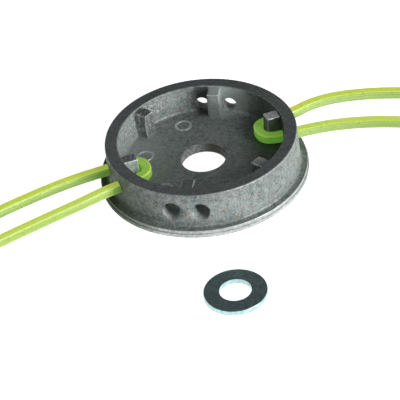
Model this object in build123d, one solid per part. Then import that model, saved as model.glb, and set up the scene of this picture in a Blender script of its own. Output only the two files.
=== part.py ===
from build123d import *
import math
import os

# Multi-line trimmer head: a die-cast aluminium cup on a flange, with six lugs inside its wall, four
# pairs of line holes, two square nylon lines folded round lugs, and its arbor washer lying in front.
# Millimetres. The origin is the centre of the arbor bore's lower edge, on the floor's flat underside,
# with +Z up. The flange reaches below it, so that the head stands on its flange.

# Casting: the turned form
flange_radius = 46.45
flange_top = 0.2             # heights are over the floor's underside
recess_depth = 3.6           # the flange stands this far below the floor's underside
flange_step = 0.35           # the lower part of the flange's edge stands out by this much
flange_step_height = -1.5
flange_chamfer = 0.5
flange_edge_round = 0.3
wall_foot_radius = 42.95     # the outer wall leans in from here up to the rim
rim_outer_radius = 42.5
rim_inner_radius = 37.0
floor_radius = 35.6          # the inner wall leans out from here up to the rim
floor_thickness = 4.5
head_height = 17.05
recess_radius = 39.6         # at the standing face
recess_top_radius = 38.6
recess_fillet = 1.2
rim_round = 0.45
foot_fillet = 0.9
floor_fillet = 1.3
bore_radius = 10.0
bore_chamfer = 0.3

# Casting: lugs that stand on the floor against the inner wall
lug_count = 6
first_lug_angle = 15.6
lug_top_height = 16.3
lug_width = 6.0              # at the floor
lug_inner_radius = 30.1      # at the floor
lug_taper = 1.5
lug_round = 0.5
lug_bite = 1.5               # how far a lug's back runs into the wall

# Casting: line holes, one pair beside each of these lugs
line_lugs = (0, 1, 3, 4)
hole_height = 7.75
hole_half_spacing = 6.6
hole_radius = 3.2
flare_start = 39.4           # distance from the axis, along the hole
flare_radius = 3.4           # radius of the rounded mouth
cut_overrun = 2.0            # how far the cutting solid runs past the mouth

# Casting: how far what stands on the floor is rooted in it
lug_root = 1.0
mark_root = 0.5

# Casting: the rings that the ejector pins left on the floor
mark_radius = 3.7
mark_width = 0.7
mark_height = 0.25
mark_circle = 26.4

match_tolerance = 0.02       # for finding circular edges by radius and height

# Lines: a square nylon line folded round a lug, both legs out through that lug's holes
line_size = 4.1
line_round = 0.6
leg_slope = 1.0              # degrees down, about this place in the wall
tilt_radius = 40.0
line_height = 8.05
bend_share = 0.45            # share of the shorter run that each bend takes up

# Routes: (distance out from the axis, distance across) in each line's own plane
right_route = [
    (132.1, -24.8), (121.1, -15.3), (103.9, -4.6), (86.4, 4.6), (69.0, 10.1), (56.0, 10.6),
    (45.0, 7.1), (32.6, 6.5), (27.3, 4.3), (27.2, -3.9), (33.2, -6.5), (44.9, -6.7),
    (58.5, -8.6), (74.1, -13.7), (90.4, -22.2), (107.1, -32.9), (122.7, -45.6), (131.0, -54.1)]
left_route = [
    (139.8, 9.3), (134.9, 7.8), (115.5, 2.7), (96.4, -1.4), (77.6, -4.9), (60.3, -7.0),
    (45.2, -7.0), (32.5, -6.6), (26.5, -4.2), (26.5, 3.8), (32.5, 6.5), (46.1, 7.1),
    (60.4, 10.2), (78.2, 13.3), (97.3, 17.0), (116.8, 21.4), (136.8, 26.6), (141.7, 28.0)]
right_lug = 0
left_lug = 3

# Washer, of the half-inch size
washer_radius = 13.5
washer_hole_radius = 6.8
washer_thickness = 2.2
washer_round = 0.35
washer_place = (5.9, -85.1)


def lug_angle(index):
    return first_lug_angle + index * 360.0 / lug_count


def ring_edges(solid, radius, height):
    """Circular edges about the bore's axis with this radius at this height."""
    found = [e for e in solid.edges().filter_by(GeomType.CIRCLE)
             if abs(e.radius - radius) < match_tolerance
             and abs(e.center(CenterOf.MASS).Z - height) < match_tolerance]
    return ShapeList(found)


# The turned cup

def cup():
    step_radius = flange_radius - flange_step
    outline = Polyline(
        (bore_radius, 0), (recess_top_radius, 0), (recess_radius, -recess_depth),
        (flange_radius - flange_chamfer, -recess_depth), (flange_radius, flange_chamfer - recess_depth),
        (flange_radius, flange_step_height), (step_radius, flange_step_height),
        (step_radius, flange_top), (wall_foot_radius, flange_top),
        (rim_outer_radius, head_height), (rim_inner_radius, head_height),
        (floor_radius, floor_thickness), (bore_radius, floor_thickness), close=True)
    body = revolve(Plane.XZ * make_face(outline), Axis.Z)
    body = fillet(ring_edges(body, recess_top_radius, 0), recess_fillet)
    body = fillet(ring_edges(body, floor_radius, floor_thickness), floor_fillet)
    body = fillet(ring_edges(body, wall_foot_radius, flange_top), foot_fillet)
    body = fillet(ring_edges(body, step_radius, flange_top), flange_edge_round)
    rim = ring_edges(body, rim_outer_radius, head_height) + ring_edges(body, rim_inner_radius, head_height)
    return fillet(rim, rim_round)


# One lug, filleted before it joins the wall

def lug(angle):
    depth = floor_radius + lug_bite - lug_inner_radius
    foot = Plane.XY.offset(floor_thickness) * Pos(lug_inner_radius + depth / 2, 0) * Rectangle(depth, lug_width)
    block = extrude(foot, lug_top_height - floor_thickness, taper=lug_taper)
    block = fillet(block.edges().filter_by(lambda e: e.center().Z > floor_thickness + lug_round), lug_round)
    root = Pos(0, 0, -lug_root) * extrude(foot, lug_root)
    return Rot(0, 0, angle) * (block + root)


# One line hole with its rounded mouth, as the solid to cut away

def line_hole(angle, side):
    mouth_end = flare_start + flare_radius
    mouth_radius = hole_radius + flare_radius
    start = lug_inner_radius - line_size
    tool_end = mouth_end + cut_overrun
    bell_centre = (flare_start, hole_radius + flare_radius)
    outline = make_face([
        Line((start, 0), (start, hole_radius)), Line((start, hole_radius), (flare_start, hole_radius)),
        CenterArc(bell_centre, flare_radius, -90, 90),
        Line((mouth_end, mouth_radius), (tool_end, mouth_radius)),
        Line((tool_end, mouth_radius), (tool_end, 0)), Line((tool_end, 0), (start, 0))])
    tool = revolve(outline, Axis.X)
    return Rot(0, 0, angle) * Pos(0, side * hole_half_spacing, hole_height) * tool


# One ejector ring on the floor

def pin_mark(circle, angle):
    rim = Circle(mark_radius) - Circle(mark_radius - mark_width)
    place = Rot(0, 0, angle) * Pos(circle, 0, floor_thickness)
    return place * (Pos(0, 0, -mark_root) * extrude(rim, mark_height + mark_root))


def head_casting():
    body = cup()
    for index in range(lug_count):
        body += lug(lug_angle(index))
    for index in line_lugs:
        for side in (-1, 1):
            body -= line_hole(lug_angle(index), side)
    for index in range(lug_count):
        body += pin_mark(mark_circle, lug_angle(index) + 180.0 / lug_count)
    return chamfer(ring_edges(body, bore_radius, floor_thickness), bore_chamfer)


# Lines: straight runs joined by tangent arcs, in a plane that slopes down outwards

def line_plane(angle):
    turn, slope = math.radians(angle), math.radians(leg_slope)
    out = Vector(math.cos(turn), math.sin(turn), 0)
    return Plane(origin=out * tilt_radius + Vector(0, 0, line_height),
                 x_dir=out * math.cos(slope) - Vector(0, 0, math.sin(slope)),
                 z_dir=out * math.sin(slope) + Vector(0, 0, math.cos(slope)))


def bend_radii(points):
    radii = []
    for before, corner, after in zip(points, points[1:], points[2:]):
        run_in, run_out = corner - before, after - corner
        half_turn = math.radians(run_in.get_angle(run_out)) / 2
        radii.append(bend_share * min(run_in.length, run_out.length) / math.tan(half_turn))
    return radii


def nylon_line(name, route, angle):
    plane = line_plane(angle)
    points = [plane.from_local_coords(Vector(out - tilt_radius, across)) for out, across in route]
    radii = bend_radii(points)
    path = FilletPolyline(*points, radius=radii)
    start = Plane(origin=path @ 0, x_dir=plane.z_dir, z_dir=path % 0)
    section = start * RectangleRounded(line_size, line_size, line_round)
    solid = sweep(section, path=path)
    expected = section.area * path.length
    print(name, "length %.1f" % path.length, "least bend %.1f" % min(radii),
          "volume share %.4f" % (solid.volume / expected))
    print(name, "bend radii", [round(radius, 1) for radius in radii])
    return solid


# Washer

def washer():
    ring = extrude(Circle(washer_radius) - Circle(washer_hole_radius), washer_thickness)
    ring = fillet(ring_edges(ring, washer_radius, washer_thickness), washer_round)
    return Pos(*washer_place, -recess_depth) * ring


parts = {
    "head_casting": head_casting(),
    "line_left": nylon_line("line_left", left_route, lug_angle(left_lug)),
    "line_right": nylon_line("line_right", right_route, lug_angle(right_lug)),
    "washer": washer(),
}
os.makedirs("parts", exist_ok=True)
for name, solid in parts.items():
    solid.label = name
    export_step(solid, "parts/" + name + ".step")
    box = solid.bounding_box()
    print(name, "solids", len(solid.solids()), "volume %.0f" % solid.volume,
          "z %.2f to %.2f" % (box.min.Z, box.max.Z))
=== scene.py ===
# %% [markdown]
# This is a multi-line trimmer head, the part that cuts at the end of a brush cutter's shaft. It is a
# die-cast cup on a flange. Two square nylon lines are folded round lugs inside its wall, and the washer
# that goes under the arbor's nut lies in front of it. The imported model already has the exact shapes, so
# this script gives the metal its finish, makes the two lines as real extrusions, and sets up the studio.

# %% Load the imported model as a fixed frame
import math

import bmesh
import bpy
from mathutils import Matrix, Vector


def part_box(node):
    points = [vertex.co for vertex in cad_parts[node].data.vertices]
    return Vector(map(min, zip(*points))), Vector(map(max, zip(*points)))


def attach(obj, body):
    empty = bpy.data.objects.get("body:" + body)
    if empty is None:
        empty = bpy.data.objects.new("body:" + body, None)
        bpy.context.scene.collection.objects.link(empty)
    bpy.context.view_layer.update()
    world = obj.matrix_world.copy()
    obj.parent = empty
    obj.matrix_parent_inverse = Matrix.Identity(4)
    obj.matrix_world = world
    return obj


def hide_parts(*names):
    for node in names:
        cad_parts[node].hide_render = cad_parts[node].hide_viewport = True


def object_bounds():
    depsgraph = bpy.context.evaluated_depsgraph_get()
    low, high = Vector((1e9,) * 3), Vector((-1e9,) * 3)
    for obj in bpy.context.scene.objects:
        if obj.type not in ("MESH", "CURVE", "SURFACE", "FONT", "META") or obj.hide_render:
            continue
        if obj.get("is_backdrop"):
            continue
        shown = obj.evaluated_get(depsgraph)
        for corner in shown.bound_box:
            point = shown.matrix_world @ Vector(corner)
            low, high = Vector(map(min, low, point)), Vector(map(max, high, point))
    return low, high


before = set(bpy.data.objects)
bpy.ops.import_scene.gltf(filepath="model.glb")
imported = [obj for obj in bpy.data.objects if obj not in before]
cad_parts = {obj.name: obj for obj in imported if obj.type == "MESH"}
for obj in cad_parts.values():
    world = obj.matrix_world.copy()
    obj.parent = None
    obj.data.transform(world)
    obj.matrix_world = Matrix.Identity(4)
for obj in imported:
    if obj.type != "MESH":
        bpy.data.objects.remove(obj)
cad_low, cad_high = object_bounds()
mm = 0.001
print("nodes", sorted(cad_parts), "size", [round(x, 4) for x in cad_high - cad_low])

# %% [markdown]
# The camera comes first, because everything else is judged through it. A photograph of a round object
# gives its own camera away: the rim, the bore and the flange are circles of known height and size, so
# the ellipses they make in the picture fix the camera's place, tilt and focal length. The numbers below
# come from that fit. It is a long lens from well back, so the washer near the camera hardly grows. The
# washer lies on the table, which gives the table's height below the bore: the head stands on its flange,
# and the floor's underside is a little above the table.

# %% Camera
camera_place = Vector((-3.896, -793.260, 607.646)) * mm
camera_elevation = math.radians(38.311)
camera_roll = math.radians(-7.355)
focal_length_px = 2250
picture_width_px = 400
sensor_width_mm = 36.0

right = Vector((1, 0, 0))
back = Vector((0, -math.cos(camera_elevation), math.sin(camera_elevation)))
up = back.cross(right)
rolled_right = math.cos(camera_roll) * right + math.sin(camera_roll) * up
rolled_up = -math.sin(camera_roll) * right + math.cos(camera_roll) * up

camera_data = bpy.data.cameras.new("camera")
camera_data.sensor_width = sensor_width_mm
camera_data.lens = focal_length_px / picture_width_px * sensor_width_mm
camera_data.clip_start = 0.01
camera_data.clip_end = 50
camera = bpy.data.objects.new("camera", camera_data)
turn = Matrix((rolled_right, rolled_up, back)).transposed().to_4x4()
camera.matrix_world = Matrix.Translation(camera_place) @ turn
bpy.context.scene.collection.objects.link(camera)
bpy.context.scene.camera = camera
bpy.context.scene.view_settings.view_transform = "Standard"
print("lens %.1f mm" % camera_data.lens)

# %% [markdown]
# Each line is one length of square nylon, pushed out through the two holes beside a lug until the fold
# sits against the lug. Nylon this thick is stiff, so both legs stand out almost level and lie in one
# plane. The points are chosen in that plane, as the distance out from the head's axis and the
# distance across. A NURBS spline that has them as its control points is smooth, as bent nylon is, and
# cuts a little inside each corner. Arcs and straight runs would look like bent wire.

# %% Routes of the two lines
line_height = 0.00805
line_size = 0.0041
slope = math.radians(1.0)
slope_start = 0.040
right_line_angle = math.radians(15.6)
left_line_angle = math.radians(195.6)

right_route = [
    (0.1321, -0.0248), (0.1211, -0.0153), (0.1039, -0.0046), (0.0864, 0.0046), (0.0690, 0.0101),
    (0.0560, 0.0106), (0.0450, 0.0071), (0.0326, 0.0065), (0.0273, 0.0043), (0.0272, -0.0039),
    (0.0332, -0.0065), (0.0449, -0.0067), (0.0585, -0.0086), (0.0741, -0.0137), (0.0904, -0.0222),
    (0.1071, -0.0329), (0.1227, -0.0456), (0.1310, -0.0541)]
left_route = [
    (0.1398, 0.0093), (0.1349, 0.0078), (0.1155, 0.0027), (0.0964, -0.0014), (0.0776, -0.0049),
    (0.0603, -0.0070), (0.0452, -0.0070), (0.0325, -0.0066), (0.0265, -0.0042), (0.0265, 0.0038),
    (0.0325, 0.0065), (0.0461, 0.0071), (0.0604, 0.0102), (0.0782, 0.0133), (0.0973, 0.0170),
    (0.1168, 0.0214), (0.1368, 0.0266), (0.1417, 0.0280)]
print(len(right_route), "and", len(left_route), "points")


# %% A line's plane, and the smooth path through it
def line_plane(angle):
    """The place where a line's own plane passes the wall, and the plane's directions out and across."""
    level_out = Vector((math.cos(angle), math.sin(angle), 0))
    across = Vector((-math.sin(angle), math.cos(angle), 0))
    out = level_out * math.cos(slope) - Vector((0, 0, math.sin(slope)))
    start = level_out * slope_start + Vector((0, 0, line_height))
    return start, out, across


def smooth_path(name, route, angle):
    """The points of a NURBS spline that has the route's points as its control points."""
    start, out, across = line_plane(angle)
    curve = bpy.data.curves.new(name + "_path", "CURVE")
    curve.dimensions = "3D"
    spline = curve.splines.new("NURBS")
    spline.points.add(len(route) - 1)
    for point, (reach, side) in zip(spline.points, route):
        place = start + out * (reach - slope_start) + across * side
        point.co = (*place, 1)
    spline.order_u = 3
    spline.use_endpoint_u = True
    spline.resolution_u = 12
    carrier = bpy.data.objects.new(name + "_path", curve)
    bare = bpy.data.meshes.new_from_object(carrier)
    path = [vertex.co.copy() for vertex in bare.vertices]
    bpy.data.objects.remove(carrier)
    bpy.data.meshes.remove(bare)
    return path


paths = {
    "line_right": smooth_path("line_right", right_route, right_line_angle),
    "line_left": smooth_path("line_left", left_route, left_line_angle)}
for name, path in paths.items():
    run = sum((b - a).length for a, b in zip(path, path[1:]))
    print(name, len(path), "points, %.1f mm long" % (run / mm))

# %% [markdown]
# The nylon comes out of a square die, so its section is a square with small rounded edges and faces
# that are a touch hollow, because the plastic shrinks most in the middle of a face. One ring of points
# is laid round each point of the path. The path is flat, so the plane's own upward direction keeps the
# rings from twisting. UVs record the distance along and around, for the drawn marks of the finish.

# %% The line's section
edge_round = 0.0006
face_hollow = 0.00006
corner_steps = 5
face_steps = 4


def square_section():
    """Points round the section, as (across, up) from its middle, anticlockwise."""
    half = line_size / 2
    inner = half - edge_round
    points = []
    for quarter in range(4):
        turn_back = quarter * math.pi / 2
        corner = []
        for step in range(corner_steps):
            bend = math.pi / 2 * step / (corner_steps - 1)
            corner.append((inner + edge_round * math.cos(bend), inner + edge_round * math.sin(bend)))
        for step in range(1, face_steps):
            along = inner - 2 * inner * step / face_steps
            sink = face_hollow * (1 - (along / inner) ** 2)
            corner.append((along, half - sink))
        c, s = math.cos(turn_back), math.sin(turn_back)
        points += [(c * x - s * y, s * x + c * y) for x, y in corner]
    return points


section = square_section()
print(len(section), "points round the section")

# %% Sweep the section along each path
uv_per_metre = 10


def square_line(name, path, angle):
    """A closed mesh of the section swept along the path. Its UVs are the distance along, and the share
    of the way round."""
    _, out, across = line_plane(angle)
    up_from_plane = out.cross(across)
    along = [0.0]
    for a, b in zip(path, path[1:]):
        along.append(along[-1] + (b - a).length)
    mesh_data = bmesh.new()
    uv = mesh_data.loops.layers.uv.new("drawn")
    rings = []
    for index, place in enumerate(path):
        before = path[max(index - 1, 0)]
        after = path[min(index + 1, len(path) - 1)]
        side = up_from_plane.cross(after - before).normalized()
        ring = [mesh_data.verts.new(place + side * x + up_from_plane * y) for x, y in section]
        rings.append(ring)
    count = len(section)
    for index in range(len(rings) - 1):
        for step in range(count):
            following = (step + 1) % count
            face = mesh_data.faces.new((
                rings[index][step], rings[index][following],
                rings[index + 1][following], rings[index + 1][step]))
            face.smooth = True
            around = (step / count, (step + 1) / count, (step + 1) / count, step / count)
            ends = (along[index], along[index], along[index + 1], along[index + 1])
            for loop, distance, share in zip(face.loops, ends, around):
                loop[uv].uv = (distance * uv_per_metre, share)
    mesh_data.faces.new(list(reversed(rings[0])))
    mesh_data.faces.new(rings[-1])
    bmesh.ops.recalc_face_normals(mesh_data, faces=mesh_data.faces)
    mesh = bpy.data.meshes.new(name)
    mesh_data.to_mesh(mesh)
    mesh_data.free()
    made = bpy.data.objects.new(name, mesh)
    bpy.context.scene.collection.objects.link(made)
    return made


line_pieces = {}
for name, angle in (("line_right", right_line_angle), ("line_left", left_line_angle)):
    piece = square_line(name + "_nylon", paths[name], angle)
    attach(piece, "root")
    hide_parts(name)
    line_pieces[name] = piece
    print(piece.name, len(piece.data.polygons), "faces")

# %% [markdown]
# Shader maths reads best as plain arithmetic. The class below holds one output socket. Adding or
# multiplying it makes the Math node that does so, and its node method makes any other node: settings
# first, because a Mix changes its sockets with them, and then the values or links.


# %% A socket that can be used in arithmetic
class Signal:
    """One output socket of a shader tree. Operators add Math nodes to the same tree."""

    def __init__(self, socket):
        self.socket = socket
        self.tree = socket.id_data

    def node(self, kind, settings=None, inputs=None, output=0):
        """Any other node. Settings go first, and then the values or links of its sockets."""
        made = self.tree.nodes.new(kind)
        for name, value in (settings or {}).items():
            setattr(made, name, value)
        for name, value in (inputs or {}).items():
            if isinstance(value, Signal):
                self.tree.links.new(value.socket, made.inputs[name])
            else:
                made.inputs[name].default_value = value
        return Signal(made.outputs[output])

    def maths(self, operation, *values):
        """A Math node that works on these values, in this order."""
        return self.node("ShaderNodeMath", {"operation": operation}, dict(enumerate(values)))

    def __add__(self, other):
        return self.maths("ADD", self, other)

    def __radd__(self, other):
        return self.maths("ADD", other, self)

    def __sub__(self, other):
        return self.maths("SUBTRACT", self, other)

    def __rsub__(self, other):
        return self.maths("SUBTRACT", other, self)

    def __mul__(self, other):
        return self.maths("MULTIPLY", self, other)

    def __rmul__(self, other):
        return self.maths("MULTIPLY", other, self)

    def __truediv__(self, other):
        return self.maths("DIVIDE", self, other)

    def __rtruediv__(self, other):
        return self.maths("DIVIDE", other, self)

    def __pow__(self, other):
        return self.maths("POWER", self, other)

    def larger(self, other):
        """The larger of the two."""
        return self.maths("MAXIMUM", self, other)

    def size(self):
        """This value without its sign."""
        return self.maths("ABSOLUTE", self)

    def step(self, start, end):
        """0 below start and 1 above end, with a smooth rise between. Start may be above end."""
        return self.node("ShaderNodeMapRange", {"interpolation_type": "SMOOTHSTEP"},
                         {"Value": self, "From Min": start, "From Max": end})

    def mix(self, colour_a, colour_b):
        """Colour a where this is 0 and colour b where it is 1. A Mix has its colours at 6, 7 and 2."""
        return self.node("ShaderNodeMix", {"data_type": "RGBA"}, {0: self, 6: colour_a, 7: colour_b}, 2)

    def noise(self, scale, detail=2.0, roughness=0.5):
        """Noise at this place, with scale in features a metre. This signal is a place."""
        return self.node("ShaderNodeTexNoise", {}, {"Vector": self, "Scale": scale, "Detail": detail,
                                                    "Roughness": roughness})

    def bump(self, distance, strength):
        """The Normal of a surface that has this signal as its height. Distance is in metres."""
        return self.node("ShaderNodeBump", {}, {"Height": self, "Distance": distance,
                                                "Strength": strength})

    def stretched(self, factors):
        """This place with its axes scaled, for marks that are longer one way."""
        return self.node("ShaderNodeVectorMath", {"operation": "MULTIPLY"}, {0: self, 1: factors})

    def axis(self, index):
        """The X, Y or Z of a place."""
        return self.node("ShaderNodeSeparateXYZ", {}, {"Vector": self}, index)


# %% [markdown]
# Every finish starts the same way: a material with a Principled shader, and a place to work from. The
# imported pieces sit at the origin, so their object coordinates are metres in the model's own frame, and a
# distance from the bore's axis or a height over the bore's lower edge can be worked out from them.


# %% Start a material
def new_finish(name):
    """A material's Principled node and the place signal, in metres in the model's frame."""
    material = bpy.data.materials.new(name)
    material.use_nodes = True
    tree = material.node_tree
    shader = tree.nodes["Principled BSDF"]
    coordinates = tree.nodes.new("ShaderNodeTexCoord")
    return material, shader, Signal(coordinates.outputs["Object"])


def feed(shader, socket_name, signal):
    """Links a signal to a socket of the shader."""
    signal.tree.links.new(signal.socket, shader.inputs[socket_name])


def wear(piece, material):
    """Gives a piece this one material."""
    piece.data.materials.clear()
    piece.data.materials.append(material)


# %% [markdown]
# The head is pressure die-cast aluminium that was tumbled to take its flash off. That leaves a dull,
# finely peened grey skin: dark in the pits where tumbling media and oil have worked in, and brighter
# where the metal is rubbed. Three sizes of noise mix a dark and a light grey here, and a fourth noise
# adds faint brown and blue-green spots. One flat grey would look like paint.

# %% Casting finish: the tumbled skin
dark_skin = (0.105, 0.122, 0.118, 1)
light_skin = (0.36, 0.395, 0.385, 1)
warm_tint = (0.31, 0.27, 0.235, 1)
cool_tint = (0.17, 0.29, 0.285, 1)
tint_strength = 0.55

cast_finish, cast_shader, place = new_finish("tumbled_casting")
grain = place.noise(1500, 2.0, 0.6)
blotch = place.noise(420, 3.0, 0.6)
cloud = place.noise(70, 2.0, 0.5)
tint_spots = place.stretched((1.0, 1.3, 0.8)).noise(900, 1.0, 0.5)

shade = (grain * 0.45 + blotch * 0.35 + cloud * 0.20).step(0.38, 0.62)
skin = shade.mix(dark_skin, light_skin)
skin = (tint_spots.step(0.52, 0.66) * tint_strength).mix(skin, warm_tint)
skin = (tint_spots.step(0.47, 0.34) * tint_strength).mix(skin, cool_tint)
print("skin from dark", dark_skin[:3], "to light", light_skin[:3])

# %% [markdown]
# Marks, and painted light and shade, go on the casting through masks: signals that are 1 where a mark is
# and 0 elsewhere. A mask is made of a few smooth steps on a height or on a distance from the bore's axis,
# so it follows the form and needs no painted picture. These are the masks of the turned form. The rim's
# edges carry wear, a painted highlight and a painted dark reflection, and its top carries painted shade,
# so they have masks of their own.

# %% Casting finish: places on the turned form
head_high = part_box("head_casting")[1]
rim_height = head_high.z
flange_radius = head_high.y
rim_outer_radius = 0.0425
rim_inner_radius = 0.0370
bore_radius = 0.0100
floor_height = 0.0045

x = place.axis(0)
y = place.axis(1)
z = place.axis(2)
radius = (x * x + y * y) ** 0.5
near_rim_top = z.step(rim_height - 0.9 * mm, rim_height - 0.2 * mm)
rim_top = z.step(rim_height - 0.4 * mm, rim_height - 0.1 * mm)
below_rim = z.step(rim_height - 0.3 * mm, rim_height - 0.7 * mm)
rim_outer_edge = radius.step(rim_outer_radius - 0.7 * mm, rim_outer_radius - 0.2 * mm) * near_rim_top
rim_inner_edge = radius.step(rim_inner_radius + 0.7 * mm, rim_inner_radius + 0.2 * mm) * near_rim_top
flange_band = radius.step(flange_radius - 1.6 * mm, flange_radius - 1.0 * mm)
flange_edge = radius.step(flange_radius - 0.9 * mm, flange_radius - 0.4 * mm)
bore_edge = radius.step(bore_radius + 0.7 * mm, bore_radius + 0.3 * mm)
bore_wall = radius.step(bore_radius + 0.3 * mm, bore_radius + 0.1 * mm)
in_cup = radius.step(rim_inner_radius + 0.3 * mm, rim_inner_radius - 0.1 * mm) * below_rim
outside = radius.step(rim_outer_radius - 0.2 * mm, rim_outer_radius + 0.2 * mm)
print("rim at %.2f mm, flange radius %.2f mm" % (rim_height / mm, flange_radius / mm))

# %% [markdown]
# The lugs and the ejector rings repeat every 60 degrees. Folding the angle about the axis into one such
# share gives every lug the same local distances out and across, so one mask serves all six.

# %% Casting finish: edges of the lugs, and the ejector rings
share = math.radians(60)
first_lug = math.radians(15.6)
lug_top = 0.0163
lug_half_width = 0.0027
lug_inner_radius = 0.0304
lug_outer_radius = 0.0366
ring_circle = 0.0264
ring_radius = 0.00335
angle = y.maths("ARCTAN2", y, x)


def repeated(start):
    """Distances out and across, measured from the nearest of six directions that begin at start."""
    shares = (angle - start) / share
    nearest = (shares - shares.maths("ROUND", shares)) * share
    return radius * nearest.maths("COSINE", nearest), (radius * nearest.maths("SINE", nearest)).size()


out, across = repeated(first_lug)
lug_side = across.step(lug_half_width - 0.6 * mm, lug_half_width - 0.1 * mm)
lug_end = out.step(lug_inner_radius + 0.6 * mm, lug_inner_radius + 0.1 * mm)
on_lug = radius.step(lug_outer_radius, lug_outer_radius - 0.3 * mm)
lug_top_edge = lug_side.larger(lug_end) * z.step(lug_top - 0.8 * mm, lug_top - 0.3 * mm)
lug_corner = lug_side * lug_end * z.step(floor_height + 0.8 * mm, floor_height + 2 * mm)
lug_edges = lug_top_edge.larger(lug_corner * 0.8) * on_lug
lug_tops = on_lug * in_cup * z.step(lug_top - 0.3 * mm, lug_top - 0.1 * mm)

out, across = repeated(first_lug + share / 2)
from_ring = (((out - ring_circle) ** 2 + across ** 2) ** 0.5 - ring_radius).size()
# the ejector rings are lighter towards the left and fade towards the right
ring_fade = x.step(20 * mm, -16 * mm) * 0.85 + 0.15
on_floor = z.step(floor_height + 1.2 * mm, floor_height + 0.6 * mm)
rings = from_ring.step(0.9 * mm, 0.4 * mm) * on_floor * ring_fade
print("lugs and rings repeat every %.0f degrees" % math.degrees(share))

# %% [markdown]
# A real casting isn't one grey all over, and the soft lamps can't make every deep shade of this one. So
# most entries below are painted light and shade: painted shade on the level top of the rim, on the
# flange's top band, on the right of the cup and on the back left lug, a painted dark reflection on the
# rim's back edge, painted light on the left wall and at the back, a painted shadow beside the back lug,
# and painted shade with a painted green reflection of the nylon on the left flank. The real marks are the
# oil in the bore, whose right side also carries a painted shadow, and the pits in the left wall. The lug
# tops are lighter on the right and darker elsewhere. Each entry below is a mask and a colour. The loop
# mixes them over the skin in order, so a later one covers an earlier one.

# %% Casting finish: stains, painted shade and painted light
broken = place.noise(900, 3.0, 0.7).step(0.30, 0.66)
spots = place.noise(750, 3.0, 0.7)

right_of_cup = x.step(13 * mm, 29 * mm) * y.step(33 * mm, 22 * mm)
left_of_cup = x.step(-4 * mm, -30 * mm) * y.step(34 * mm, 14 * mm)
behind_back_lug = y.step(25 * mm, 32 * mm) * x.step(0, 10 * mm) * x.step(28 * mm, 20 * mm)
back_corner = x.step(-2 * mm, 2 * mm) * x.step(6.4 * mm, 5.4 * mm) * y.step(28 * mm, 33 * mm)
left_flank = x.step(-18 * mm, -40 * mm) * 0.60 + x.step(-38 * mm, -43 * mm) * 0.30
on_left_wall = in_cup * z.step(floor_height + 1 * mm, floor_height + 4 * mm) * x.step(0, -26 * mm)
back_left_lug = x.step(-18.2 * mm, -19.2 * mm) * x.step(-26.8 * mm, -25.8 * mm)
back_left_lug = back_left_lug * y.step(17.8 * mm, 18.8 * mm) * radius.step(35.2 * mm, 34.2 * mm)
over_floor = z.step(floor_height + 0.4 * mm, floor_height + 1.2 * mm)
front_or_left = x.step(-8 * mm, -20 * mm).larger(y.step(-15 * mm, -28 * mm))

stains_and_painted_light = {
    # painted shade on the level top of the rim, darker towards the back
    "painted shade on the rim's level top": (
        rim_top * (0.62 + y.step(10 * mm, 36 * mm) * 0.12), (0.045, 0.055, 0.057, 1)),
    # a painted dark reflection on the back of the rim's outer edge
    "painted dark reflection on the rim's back edge": (
        rim_outer_edge * y.step(2 * mm, 24 * mm) * 0.6, (0.02, 0.024, 0.024, 1)),
    # oil on the whole bore wall, and a painted shadow on its right side
    "oil and painted shadow in the bore": (
        bore_wall * (0.36 + x.step(-4 * mm, 6 * mm) * 0.59), (0.035, 0.028, 0.020, 1)),
    # painted shade on the flange's level top band, more on the right
    "painted shade on the flange's top band": (
        flange_band * (0.14 + x.step(32 * mm, 44 * mm) * 0.35), (0.12, 0.15, 0.14, 1)),
    # painted shade on the right of the cup
    "painted shade on the right of the cup": (
        in_cup * right_of_cup * 0.68, (0.03, 0.03, 0.026, 1)),
    # painted light on the left wall and behind the back lug
    "painted light on the left wall and the back": (
        in_cup * (left_of_cup * 0.28).larger(behind_back_lug * 0.60), (0.56, 0.62, 0.60, 1)),
    "shade beside the back lug": (
        in_cup * back_corner * 0.75, (0.012, 0.014, 0.014, 1)),
    # painted shade on the left flank, tinted as a painted green reflection of the nylon
    "painted shade and nylon reflection on the left flank": (
        outside * (left_flank * y.step(20 * mm, 6 * mm)), (0.030, 0.050, 0.012, 1)),
    "pits in the left wall": (
        spots.step(0.48, 0.38) * on_left_wall * 0.5, (0.10, 0.12, 0.115, 1)),
    # painted shade on the back left lug
    "painted shade on the back left lug": (
        back_left_lug * over_floor * 0.42, (0.03, 0.032, 0.03, 1)),
    # the tops of the lugs on the right are lighter, and the other lug tops darker
    "lighter tops of the lugs on the right": (
        lug_tops * x.step(8 * mm, 28 * mm) * 0.7 * (0.4 + broken * 0.8), (0.60, 0.65, 0.64, 1)),
    "darker tops of the other lugs": (
        lug_tops * front_or_left * 0.65, (0.05, 0.055, 0.055, 1))}
for name, (mask, colour) in stains_and_painted_light.items():
    skin = mask.mix(skin, colour)
    print("colour_field:", name)

# %% [markdown]
# Edges rub against everything, so they are the brightest metal on a casting. They are rubbed unevenly: a
# noise breaks each bright line up. Some of the brightness is painted highlight: the rim's outer edge is
# brightest at its front right, towards the key lamps, the flange's edge fades towards the left, the bore's
# edge is light only on its left, and the bright spots on the left wall are painted glints. The ejector
# rings are light too. The casting is only partly a mirror, so Metallic stays well under 1 in the skin and
# rises where it is rubbed or painted bright.

# %% Casting finish: rubbed edges and painted highlights
rubbed_and_highlit_metal = (0.80, 0.83, 0.82, 1)
towards_front_right = (x * 0.74 - y * 0.67) / radius
front_right = towards_front_right.step(0.55, 0.98)

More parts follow.
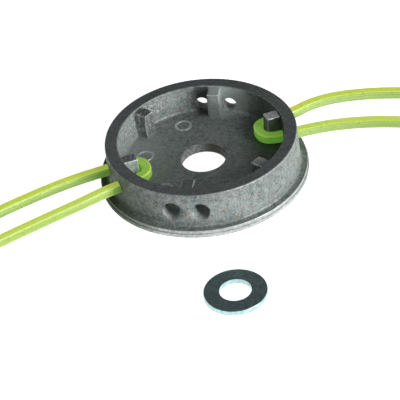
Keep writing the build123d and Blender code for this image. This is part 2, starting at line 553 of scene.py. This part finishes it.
rubbed_and_highlit_places = [
    # the rim's outer edge is rubbed all round, and its front right gets a painted highlight
    rim_outer_edge * (0.12 + front_right * 0.7) * (0.4 + broken * 0.6),
    rim_inner_edge * broken * 0.25,
    lug_edges * (0.2 + broken * 0.5),
    # the flange's rubbed edge, with its painted highlight fading out towards the left
    flange_edge * (0.34 + broken * 0.3) * x.step(-46 * mm, -20 * mm),
    # painted glints in the bright spots of the left wall
    spots.step(0.52, 0.62) * on_left_wall * 0.6,
    rings * (0.7 + broken * 0.5),
    # a painted highlight on the left of the bore's edge
    bore_edge * x.step(6 * mm, -4 * mm) * (0.1 + broken * 0.3)]
rubbed_and_highlit = sum(rubbed_and_highlit_places).step(0, 1)

feed(cast_shader, "Base Color", (rubbed_and_highlit * 0.8).mix(skin, rubbed_and_highlit_metal))
feed(cast_shader, "Metallic", 0.28 + shade * 0.12 + rubbed_and_highlit * 0.35)
feed(cast_shader, "Roughness", 0.62 - shade * 0.12 - rubbed_and_highlit * 0.18)
print(len(rubbed_and_highlit_places), "rubbed places")

# %% [markdown]
# The bump is what makes metal read as cast and not as painted card. It has the fine peening of the
# tumbler, a few deeper pits, and long shallow waves where the metal froze against the die. Heights are
# in metres, as the whole scene is, so the numbers are small.

# %% Casting finish: peened and pitted surface
pits = place.noise(1100, 1.0, 0.4).step(0.34, 0.26)
waves = place.noise(160, 1.0, 0.5)
peening = place.noise(2400, 2.0, 0.6)
relief = peening * 0.35 + waves - pits * 0.6 + blotch * 0.5
feed(cast_shader, "Normal", relief.bump(distance=0.00012, strength=0.9))
cast_shader.inputs["Specular IOR Level"].default_value = 0.35
wear(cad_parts["head_casting"], cast_finish)
print(cast_finish.name, len(cast_finish.node_tree.nodes), "nodes")

# %% [markdown]
# The washer is stamped steel with a bright zinc plating, which is a full metal: nearly all of its look
# is reflection. The plating is finely clouded and a little blue, and its faces carry faint round marks,
# which are a sine of the distance from the washer's middle, used as bump.

# %% Washer finish
dark_zinc = (0.36, 0.52, 0.53, 1)
light_zinc = (0.52, 0.70, 0.70, 1)
mark_rate = 9000  # radians of the sine for each metre of radius

zinc_finish, zinc_shader, place = new_finish("bright_zinc")
washer_low, washer_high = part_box("washer")
middle = (washer_low + washer_high) / 2
from_middle = place.node("ShaderNodeVectorMath", {"operation": "SUBTRACT"}, {0: place, 1: tuple(middle)})
washer_radius = (from_middle.axis(0) ** 2 + from_middle.axis(1) ** 2) ** 0.5
turned = washer_radius.maths("SINE", washer_radius * mark_rate) * 0.5 + 0.5
mist = place.noise(600, 3.0, 0.6)
feed(zinc_shader, "Base Color", mist.step(0.3, 0.7).mix(dark_zinc, light_zinc))
feed(zinc_shader, "Roughness", 0.26 + mist * 0.18)
zinc_shader.inputs["Metallic"].default_value = 1.0
zinc_relief = turned * 0.3 + place.noise(1800, 2.0, 0.5)
feed(zinc_shader, "Normal", zinc_relief.bump(distance=0.00002, strength=0.6))
wear(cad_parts["washer"], zinc_finish)
print("washer %.1f mm across" % ((washer_high.x - washer_low.x) / mm))

# %% [markdown]
# Trimmer line is clear nylon with a yellow-green day-glow dye. Light goes in, scatters and comes out
# again, which is subsurface scattering, and the dye turns some of it into a glow of its own, which is a
# small emission. The light and shade on the line are painted into its colour: over white the upper faces
# are painted a lit yellow and the side faces a shaded green, and inside the dark cup the whole line is
# painted a shaded green, with thin painted yellow highlights along its edges. The distance from the
# bore's axis tells the two apart, and the UVs tell the faces apart. The streaks along the line come from
# the die.

# %% Line finish: colours, with painted light and shade
# painted light and shade: a lit yellow for the upper faces, a shaded green for the sides and the line in
# the cup
shaded_side_greens = ((0.36, 0.45, 0.07, 1), (0.46, 0.54, 0.20, 1))
lit_upper_yellows = ((0.62, 0.68, 0.05, 1), (0.66, 0.76, 0.20, 1))
shaded_green_in_cup = (0.47, 0.58, 0.10, 1)
pale_streak = (0.56, 0.74, 0.28, 1)
painted_edge_highlight = (0.86, 0.92, 0.14, 1)
faces_of_line = 4
edge_middle = (corner_steps - 1) / 2 / (corner_steps - 1 + face_steps)

nylon_finish, nylon_shader, place = new_finish("day_glow_nylon")
drawn = place.node("ShaderNodeUVMap", {"uv_map": "drawn"})
around = drawn.axis(1)
streaks = drawn.stretched((1.5, 60.0, 1.0)).noise(1.0, 2.0, 0.5)
clear_core = (drawn.stretched((0.8, 22.0, 1.0)).noise(1.0, 1.0, 0.4)).step(0.45, 0.62)
upper_face = around.step(0.03, 0.09) * around.step(0.34, 0.28)
reach = (place.axis(0) ** 2 + place.axis(1) ** 2) ** 0.5
line_in_cup = reach.step(43 * mm, 38 * mm)
faces_round = around * faces_of_line
from_edge = (faces_round.maths("FRACT", faces_round) - edge_middle).size()

over_white = upper_face.mix(clear_core.mix(*shaded_side_greens), clear_core.mix(*lit_upper_yellows))
nylon_colour = line_in_cup.mix(over_white, shaded_green_in_cup)
nylon_colour = (streaks.step(0.35, 0.65) * 0.35).mix(nylon_colour, pale_streak)
# a painted highlight along each edge of the line in the cup
nylon_colour = (from_edge.step(0.22, 0.08) * line_in_cup * 0.9).mix(nylon_colour, painted_edge_highlight)
feed(nylon_shader, "Base Color", nylon_colour)

# %% Line finish: glow with painted light, scattering and surface
# the dye's glow, painted stronger on the lit upper faces and greener in the cup
shaded_side_glow = (0.02, 0.09, 0.01, 1)
lit_upper_glow = (0.22, 0.27, 0.04, 1)
painted_cup_glow = (0.04, 0.15, 0.015, 1)
nylon_values = {
    "IOR": 1.53, "Transmission Weight": 0.10, "Subsurface Weight": 0.6, "Subsurface Scale": 0.002,
    "Subsurface Radius": (1.0, 1.4, 0.3), "Emission Strength": 1.0}

feed(nylon_shader, "Emission Color", line_in_cup.mix(upper_face.mix(shaded_side_glow, lit_upper_glow), painted_cup_glow))
feed(nylon_shader, "Roughness", 0.22 + place.noise(260, 2.0, 0.5) * 0.14)
feed(nylon_shader, "Normal", streaks.bump(distance=0.00002, strength=0.25))
for name, value in nylon_values.items():
    nylon_shader.inputs[name].default_value = value
for piece in line_pieces.values():
    wear(piece, nylon_finish)
print(nylon_finish.name, len(nylon_finish.node_tree.nodes), "nodes")

# %% [markdown]
# The studio is a white table in a room with a dark ceiling. The table is white to the camera and in
# reflections. To light that falls on it and bounces, it is an ordinary pale table, so it doesn't light
# the casting from below more than a real one would.

# %% Table
table_half = 4.0
table_gap = 0.00002
table_glow = 0.93
table_colour = (0.8, 0.8, 0.8, 1)

table_mesh = bpy.data.meshes.new("table")
table_corners = [(-table_half, -table_half, 0), (table_half, -table_half, 0),
                 (table_half, table_half, 0), (-table_half, table_half, 0)]
table_mesh.from_pydata(table_corners, [], [(0, 1, 2, 3)])
table = bpy.data.objects.new("table", table_mesh)
table.location.z = cad_low.z - table_gap
bpy.context.scene.collection.objects.link(table)
table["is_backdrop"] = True


def looked_at(signal):
    """1 for what the camera, a reflection or a clear piece looks at, and 0 for light that bounces."""
    seen_by = [signal.node("ShaderNodeLightPath", output=name)
               for name in ("Is Camera Ray", "Is Glossy Ray", "Is Transmission Ray")]
    return seen_by[0].larger(seen_by[1]).larger(seen_by[2])


table_finish, table_shader, place = new_finish("white_table")
pale = place.node("ShaderNodeBsdfDiffuse", {}, {"Color": table_colour})
glow = place.node("ShaderNodeEmission", {}, {"Strength": table_glow})
white = place.node("ShaderNodeAddShader", {}, {0: glow, 1: pale})
surface = place.node("ShaderNodeMixShader", {}, {0: looked_at(place), 1: pale, 2: white})
table_output = table_finish.node_tree.nodes["Material Output"]
table_finish.node_tree.links.new(surface.socket, table_output.inputs["Surface"])
table_finish.node_tree.nodes.remove(table_shader)
wear(table, table_finish)
print("table", table_half * 2, "m across, at %.2f mm" % (table.location.z / mm))

# %% [markdown]
# The world stands for the room. It is white near the horizon, like the sweep behind a product table,
# and darkens towards the ceiling, so level metal reflects a dark room as it does in the photograph.
# Light that bounces gets one low, even level from it.

# %% World
horizon_end = 0.03
ceiling_start = 0.45
ceiling_level = 0.06
room_fill = 0.10

world = bpy.data.worlds.new("studio")
world.use_nodes = True
bpy.context.scene.world = world
room_tree = world.node_tree
direction = Signal(room_tree.nodes.new("ShaderNodeTexCoord").outputs["Generated"])
sweep = ceiling_level + (1 - ceiling_level) * direction.axis(2).step(ceiling_start, horizon_end)
room_light = looked_at(direction)
strength = room_light * sweep + (1 - room_light) * room_fill
feed(room_tree.nodes["Background"], "Strength", strength)
room_tree.nodes["Background"].inputs["Color"].default_value = (1, 1, 1, 1)
print("room fill", room_fill)

# %% [markdown]
# The key lamp is low and at the front right. The upright faces that it meets are bright and level ones
# stay dark, which shows the cup's shape well. A broader lamp over it softens its shadows. Three weak
# ones keep the front, the floor of the cup and the back from going black. All are suns, which light
# evenly however far the camera moves round. The wide disc of each gives soft shadows, as a large
# softbox does.

# %% Lamps: azimuth and elevation in degrees, level, and width of the disc in degrees
lamps = {
    "key": (-38, 9, 0.70, 12),
    "high_key": (-42, 27, 0.42, 28),
    "front": (-95, 26, 0.08, 40),
    "overhead": (-42, 84, 0.05, 60),
    "back_fill": (158, 16, 0.14, 60)}


def sun(name, azimuth, elevation, level, disc):
    """A sun whose light comes from this direction. At level 1 a white face turned to it renders white."""
    data = bpy.data.lights.new(name, "SUN")
    data.energy = level * math.pi
    data.angle = math.radians(disc)
    lamp = bpy.data.objects.new(name, data)
    a, e = math.radians(azimuth), math.radians(elevation)
    towards = Vector((math.cos(a) * math.cos(e), math.sin(a) * math.cos(e), math.sin(e)))
    lamp.rotation_euler = towards.to_track_quat("Z", "Y").to_euler()
    lamp.location = towards
    bpy.context.scene.collection.objects.link(lamp)


for name, settings in lamps.items():
    sun(name, *settings)
print(len(lamps), "lamps")

# %% [markdown]
# Dressing a model must not change its size. The box of what now stands in the scene, less the box of the
# imported model, is printed, so that a difference shows at once.

# %% Sizes, and the end
low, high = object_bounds()
grown = [round((b - a - (d - c)) / mm, 2) for a, b, c, d in zip(low, high, cad_low, cad_high)]
print("visual box less CAD box, mm", grown)
